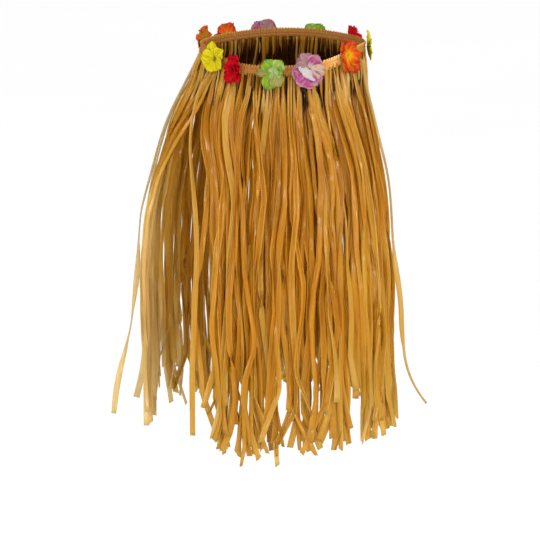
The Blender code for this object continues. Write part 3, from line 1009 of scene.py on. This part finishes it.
# A petal: its cloth, its angle from upright in degrees, then its length, width, lift of the tip,
# cup of the sides and ruffle of the rim, in millimetres in these tables and in metres once cut.
Petal = namedtuple("Petal", "cloth angle length width lift cup ruffle")
YELLOW_PETALS = (
    ("yellow", -10, 37, 28, 4, 3, 1.2),
    ("yellow", 48, 31, 30, 5, 4, 1.4),
    ("yellow", 126, 28, 31, 9, 4, 1.4),
    ("yellow", 216, 28, 33, 9, 4, 1.4),
    ("yellow", 284, 31, 34, 8, 4, 1.4),
)
RED_PETALS = (
    ("red", -15, 31, 16, 4, 3, 1.4),
    ("red", 17, 31, 17, 6, 3, 1.4),
    ("red", 66, 18, 27, 8, 5, 1.8),
    ("red", 155, 30, 26, 8, 5, 1.8),
    ("red", 200, 31, 26, 9, 5, 1.8),
    ("red", 294, 17, 27, 6, 5, 1.8),
    ("red", 22, 20, 25, 11, 5, 1.8),
    ("red", 104, 16, 25, 12, 5, 1.8),
    ("red", 184, 21, 27, 13, 5, 1.8),
    ("red", 262, 16, 25, 12, 5, 1.8),
    ("red", 326, 18, 23, 11, 5, 1.8),
    ("red", 80, 10, 18, 16, 4, 1.4),
    ("red", 250, 10, 18, 17, 4, 1.4),
)
GREEN_PETALS = (
    ("beige_green", 266, 36, 20, 4, 2, 1),
    ("green", -37, 30, 31, 6, 4, 1.2),
    ("pale_green", 37, 29, 32, 8, 4, 1.2),
    ("pale_green", 98, 19, 25, 9, 4, 1.2),
    ("green", 202, 38, 32, 9, 4, 1.4),
    ("beige_green", 156, 33, 33, 11, 4, 1.4),
    ("white_green", -50, 11, 12, 9, 3, 1),
    ("white_green", 20, 10, 12, 10, 3, 1),
    ("white_green", 92, 12, 11, 10, 3, 1),
    ("white_green", 205, 16, 8, 9, 3, 1),
)
PINK_PETALS = (
    ("lilac", -28, 36, 38, 3, 2, 1.2),
    ("patched", 33, 33, 34, 5, 2, 1.2),
    ("cream_lilac", 106, 32, 33, 8, 4, 1.2),
    ("lilac", 272, 36, 34, 8, 4, 1.4),
    ("patched", 158, 37, 36, 9, 4, 1.4),
    ("banded", 221, 41, 60, 12, 3, 1.4),
    ("white_pink", 219, 19, 46, 8.8, 3, 0.6),
)
ORANGE_PETALS = (
    ("orange", -26, 34, 34, 4, 5, 2.6),
    ("orange", 10, 31, 32, 7, 5, 2.6),
    ("orange", 62, 23, 36, 8, 6, 3),
    ("orange", 200, 37, 28, 7, 6, 2.6),
    ("orange", 162, 39, 34, 11, 7, 3),
    ("orange", 114, 25, 34, 12, 7, 3),
    ("orange", 268, 20, 28, 5, 6, 2.6),
)
AMBER_PETALS = (
    ("amber", -12, 26, 28, 2, 3, 2),
    ("amber", 58, 27, 30, 4, 4, 2),
    ("amber", 130, 27, 30, 5, 4, 2),
    ("amber", 205, 30, 26, 5, 4, 2),
    ("amber", 280, 26, 30, 3, 3, 2),
)
# A bloom: its petals, where its heart sits right and up of the imported flower's middle, how far
# it is turned in degrees, and the half width and half height of its eye, a dark disc of painted
# shade in its throat, if it has one.
Bloom = namedtuple("Bloom", "petals heart turn eye", defaults=((0.0, 0.0), 0.0, None))
BLOOMS = {
    "flower_yellow": Bloom(YELLOW_PETALS, (0.009, -0.005), 8.0, (0.0014, 0.0058)),
    "flower_red": Bloom(RED_PETALS, (0.007, -0.001)),
    "flower_green": Bloom(GREEN_PETALS, (0.008, 0.004)),
    "flower_pink": Bloom(PINK_PETALS, (0.001, 0.000), eye=(0.0016, 0.0016)),
    "flower_orange": Bloom(ORANGE_PETALS, (-0.001, 0.001)),
    "flower_amber": Bloom(AMBER_PETALS),
    "flower_side_yellow": Bloom(YELLOW_PETALS, eye=(0.0017, 0.005)),
    "flower_back_red": Bloom(RED_PETALS),
    "flower_back_green": Bloom(GREEN_PETALS),
    "flower_back_pink": Bloom(PINK_PETALS, (0.004, 0.0), eye=(0.0016, 0.0016)),
    "flower_back_orange": Bloom(ORANGE_PETALS),
}
# How far the first petal stands off the imported flower's back, each later petal off the one
# before, and the eye's painted shade off the back.
PETAL_LIFT = 0.0015
PETAL_STEP = 0.0003
THROAT_SHADE_LIFT = 0.0036
THROAT_SHADE_TONE = 0.3


class FlowerPlace:
    """Where a packed flower is sewn on, which way it faces, and its half sizes."""

    def __init__(self, node, turn=0.0):
        points = packed_points(node)
        centre = points.mean(axis=0)
        facing = np.linalg.svd(points - centre, full_matrices=False)[2][-1]
        facing[2] = 0.0
        facing = facing / np.linalg.norm(facing)
        if facing @ centre < 0:
            facing = -facing
        reach = points - centre
        self.half_width = float(np.abs(reach @ np.cross(UP, facing)).max())
        self.half_height = float(np.abs(reach[:, 2]).max())
        self.base = centre + facing * float((reach @ facing).min())
        angle = math.radians(turn)
        level = (
            facing[0] * math.cos(angle) - facing[1] * math.sin(angle),
            facing[0] * math.sin(angle) + facing[1] * math.cos(angle),
        )
        self.facing = np.array([level[0], level[1], 0.0])
        self.right = np.cross(UP, self.facing)

    def put(self, points):
        """Points given as right, up and forward of the heart become points in the skirt's frame."""
        return (
            self.base
            + points[..., 0, None] * self.right
            + points[..., 1, None] * UP
            + points[..., 2, None] * self.facing
        )


def petal_points(petal, rows, columns, chance):
    """A rounded petal lying up from the heart, ridged along its length, with a ruffled rim."""
    along = np.linspace(0.0, 1.0, rows + 1)[:, None]
    along = 0.65 * along + 0.35 * (1.0 - (1.0 - along) ** 2)
    across = np.linspace(-1.0, 1.0, columns + 1)[None, :]
    # Narrow at the claw, widest past the middle, and rounded at the rim.
    claw = 0.26 + 0.74 * np.sin(0.5 * math.pi * np.clip(along / 0.62, 0.0, 1.0))
    body = claw * np.sqrt(1.0 - np.clip((along - 0.60) / 0.43, 0.0, 1.0) ** 2)
    ridge = np.cos(across * math.pi * chance.uniform(2.6, 3.4) + chance.uniform(0.0, 6.28))
    x = across * 0.5 * petal.width * body
    y = 0.001 + petal.length * (along - 0.10 * across**2 * along**2 + 0.030 * ridge * along**6)
    z = petal.lift * along**1.3 + petal.cup * across**2 * along
    z = z + 0.0013 * ridge * smooth_step(0.08, 0.45, along)
    ruffle = np.sin(across * chance.uniform(3.0, 5.0) + chance.uniform(0.0, 6.28))
    z = z + petal.ruffle * along**2 * ruffle
    z = z - 0.0035 * smooth_step(0.7, 1.0, along) ** 2
    return np.stack([x, y, z], axis=-1)


def turned(points, degrees):
    """Petal points turned clockwise round the flower's heart."""
    angle = math.radians(degrees)
    right = points[..., 0] * math.cos(angle) + points[..., 1] * math.sin(angle)
    up = points[..., 1] * math.cos(angle) - points[..., 0] * math.sin(angle)
    return np.stack([right, up, points[..., 2]], axis=-1)


def give_material(vertices, slot):
    """Sets the material of the faces that a shape's vertices belong to."""
    for face in {face for vertex in vertices for face in vertex.link_faces}:
        face.material_index = slot


def add_petal(shape, layers, place, heart, petal, number, slot, settings, chance):
    """Adds a petal's faces to a flower; its tone runs from 0 at the heart to 1 at the rim."""
    rows, columns = settings.rows, settings.columns
    local = turned(petal_points(petal, rows, columns, chance), petal.angle)
    points = place.put(local + np.array([*heart, PETAL_LIFT + PETAL_STEP * number]))
    along = np.arange(rows + 1) / rows
    across = np.arange(columns + 1) / columns
    lay = flat_lay((across - 0.5) * petal.width + 0.1 * number, along * petal.length, 0.2 * number)
    to_side = np.abs(2.0 * across - 1.0)[None, :]
    to_rim = along[:, None]
    tone = 1.0 - (1.0 - to_rim) * (1.0 - 0.85 * to_side**5 * np.minimum(1.0, to_rim * 3.0))
    give_material(add_cloth(shape, layers, points, (lay, tone)), slot)


def add_throat_shade(shape, layers, place, heart, eye, slot):
    """Adds the small dark disc at a flower's heart: painted shade in its throat."""
    made = bmesh.ops.create_circle(shape, cap_ends=True, segments=16, radius=1.0)["verts"]
    lay, shade = layers
    for vertex in made:
        x, y = vertex.co.x * eye[0], vertex.co.y * eye[1]
        vertex.co = place.put(np.array([x + heart[0], y + heart[1], THROAT_SHADE_LIFT]))
        vertex[lay] = (x, y, 0.0)
        vertex[shade] = THROAT_SHADE_TONE
    give_material(made, slot)


class GRASSSKIRT_OT_flowers(bpy.types.Operator):
    """Make each pressed cloth flower from its petals"""

    bl_idname = "grass_skirt.flowers"
    bl_label = "Flowers"

    def execute(self, context):
        settings = context.scene.grass_skirt_flowers
        cloths = {name: petal_material(f"petal_{name}", *cloth) for name, cloth in CLOTHS.items()}
        for order, (node, bloom) in enumerate(BLOOMS.items()):
            chance = np.random.default_rng(FLOWER_CHANCES + order)
            place = FlowerPlace(node, bloom.turn)
            shape = bmesh.new()
            layers = cloth_layers(shape)
            petals = [Petal(*row[:2], *(size / 1000 for size in row[2:])) for row in bloom.petals]
            used = sorted({petal.cloth for petal in petals})
            for number, petal in enumerate(petals):
                slot = used.index(petal.cloth)
                add_petal(shape, layers, place, bloom.heart, petal, number, slot, settings, chance)
            if bloom.eye:
                used.append("dark")
                add_throat_shade(shape, layers, place, bloom.heart, bloom.eye, used.index("dark"))
            materials = [cloths[name] for name in used]
            slot = "petals_" + node.split("_")[-1]
            name = node.replace("flower", "cloth_flower")
            piece = finish_piece(name, shape, materials, node, settings.cloth)
        return {"FINISHED"}


# ---------------------------------------------------------------- the stage

CAMERA_AIM = Vector((-0.027, 0.0, -0.473))
LIGHT_AIM = Vector((0.0, 0.0, -0.35))
SENSOR = 36.0
FLOOR_HALF_SIDE = 60.0
# How bright the surroundings are as soft light, and as what the gloss reflects.
SURROUND_LIGHT = 1.14
SURROUND_GLEAM = 0.1
# Each soft light's place, width and height, power and colour.
LIGHTS = {
    "key": ((0.6, -2.8, 1.3), (0.4, 0.4), 26.0, (1.0, 0.98, 0.95)),
    "left_strip": ((-1.9, -2.5, -0.4), (0.10, 1.1), 24.0, (1.0, 0.99, 0.97)),
    "right_strip": ((1.5, -2.8, -0.2), (0.09, 1.0), 18.0, WHITE),
    "left_side": ((-2.9, -0.8, 0.1), (0.16, 1.4), 28.0, (1.0, 0.99, 0.97)),
    "right_side": ((2.7, -1.4, 0.1), (0.14, 1.2), 32.0, WHITE),
}


def looking(thing, place, direction):
    """Puts a camera or light at a place, pointing along a direction."""
    bpy.context.scene.collection.objects.link(thing)
    thing.location = place
    thing.rotation_euler = direction.to_track_quat("-Z", "Y").to_euler()
    return thing


def add_camera(settings):
    back = Vector((0.0, -math.cos(settings.elevation), math.sin(settings.elevation)))
    camera = bpy.data.cameras.new("view")
    camera.sensor_width = SENSOR
    camera.lens = SENSOR * settings.distance / settings.field
    eye = bpy.data.objects.new("view", camera)
    return looking(eye, CAMERA_AIM + back * settings.distance, -back)


def add_floor(settings):
    shape = bmesh.new()
    bmesh.ops.create_grid(shape, x_segments=1, y_segments=1, size=FLOOR_HALF_SIDE)
    bmesh.ops.translate(shape, verts=shape.verts, vec=(0.0, 0.0, -settings.floor_drop))
    mesh = bpy.data.meshes.new("floor")
    shape.to_mesh(mesh)
    shape.free()
    mesh.materials.append(plain_material("pale_floor", (0.93, 0.93, 0.93), 0.9, 0.01, 0.8))
    floor = bpy.data.objects.new("floor", mesh)
    bpy.context.scene.collection.objects.link(floor)
    floor.visible_glossy = False


def add_lights():
    for name, (place, size, power, colour) in LIGHTS.items():
        lamp = bpy.data.lights.new(name, "AREA")
        lamp.shape = "RECTANGLE"
        lamp.size, lamp.size_y = size
        lamp.energy = power
        lamp.color = colour
        looking(bpy.data.objects.new(name, lamp), place, LIGHT_AIM - Vector(place))


def add_surroundings():
    """White surroundings, dimmer in the gloss than as light."""
    world = bpy.data.worlds.new("studio")
    bpy.context.scene.world = world
    world.use_nodes = True
    tree = world.node_tree
    sky = tree.nodes["Background"]
    sky.inputs["Color"].default_value = (*WHITE, 1.0)
    seen = tree.nodes.new("ShaderNodeLightPath")
    strength = tree.nodes.new("ShaderNodeMapRange")
    strength.inputs["To Min"].default_value = SURROUND_LIGHT
    strength.inputs["To Max"].default_value = SURROUND_GLEAM
    tree.links.new(seen.outputs["Is Glossy Ray"], strength.inputs["Value"])
    tree.links.new(strength.outputs["Result"], sky.inputs["Strength"])


class GRASSSKIRT_OT_stage(bpy.types.Operator):
    """Set the camera, the pale floor and the soft lights"""

    bl_idname = "grass_skirt.stage"
    bl_label = "Stage"

    def execute(self, context):
        settings = context.scene.grass_skirt_stage
        context.scene.camera = add_camera(settings)
        add_floor(settings)
        add_lights()
        add_surroundings()
        context.scene.view_settings.view_transform = "Standard"
        return {"FINISHED"}


# Each group of settings, and its title in the panel.
GROUPS = {
    "grass_skirt_strands": ("Strands", StrandSettings),
    "grass_skirt_band": ("Waistband", BandSettings),
    "grass_skirt_flowers": ("Flowers", FlowerSettings),
    "grass_skirt_stage": ("Stage", StageSettings),
}


class GRASSSKIRT_PT_panel(bpy.types.Panel):
    """Lists the skirt's settings and the steps that build it"""

    bl_label = "Grass Skirt"
    bl_idname = "GRASSSKIRT_PT_panel"
    bl_space_type = "VIEW_3D"
    bl_region_type = "UI"
    bl_category = "Grass Skirt"

    def draw(self, context):
        for group, (title, kind) in GROUPS.items():
            box = self.layout.box()
            box.label(text=title)
            for name in kind.__annotations__:
                box.prop(getattr(context.scene, group), name)
        for operator in OPERATORS:
            self.layout.operator(operator.bl_idname)


OPERATORS = (
    GRASSSKIRT_OT_stage,
    GRASSSKIRT_OT_locks,
    GRASSSKIRT_OT_loose_strands,
    GRASSSKIRT_OT_waistband,
    GRASSSKIRT_OT_flowers,
)
CLASSES = (StrandSettings, BandSettings, FlowerSettings, StageSettings, *OPERATORS, GRASSSKIRT_PT_panel)


def register():
    for cls in CLASSES:
        bpy.utils.register_class(cls)
    for group, (_, kind) in GROUPS.items():
        setattr(bpy.types.Scene, group, bpy.props.PointerProperty(type=kind))


def unregister():
    for group in GROUPS:
        delattr(bpy.types.Scene, group)
    for cls in reversed(CLASSES):
        bpy.utils.unregister_class(cls)


def main():
    register()
    bpy.ops.grass_skirt.stage()
    bpy.ops.grass_skirt.locks()
    bpy.ops.grass_skirt.loose_strands()
    bpy.ops.grass_skirt.waistband()
    bpy.ops.grass_skirt.flowers()


if __name__ == "__main__":
    main()
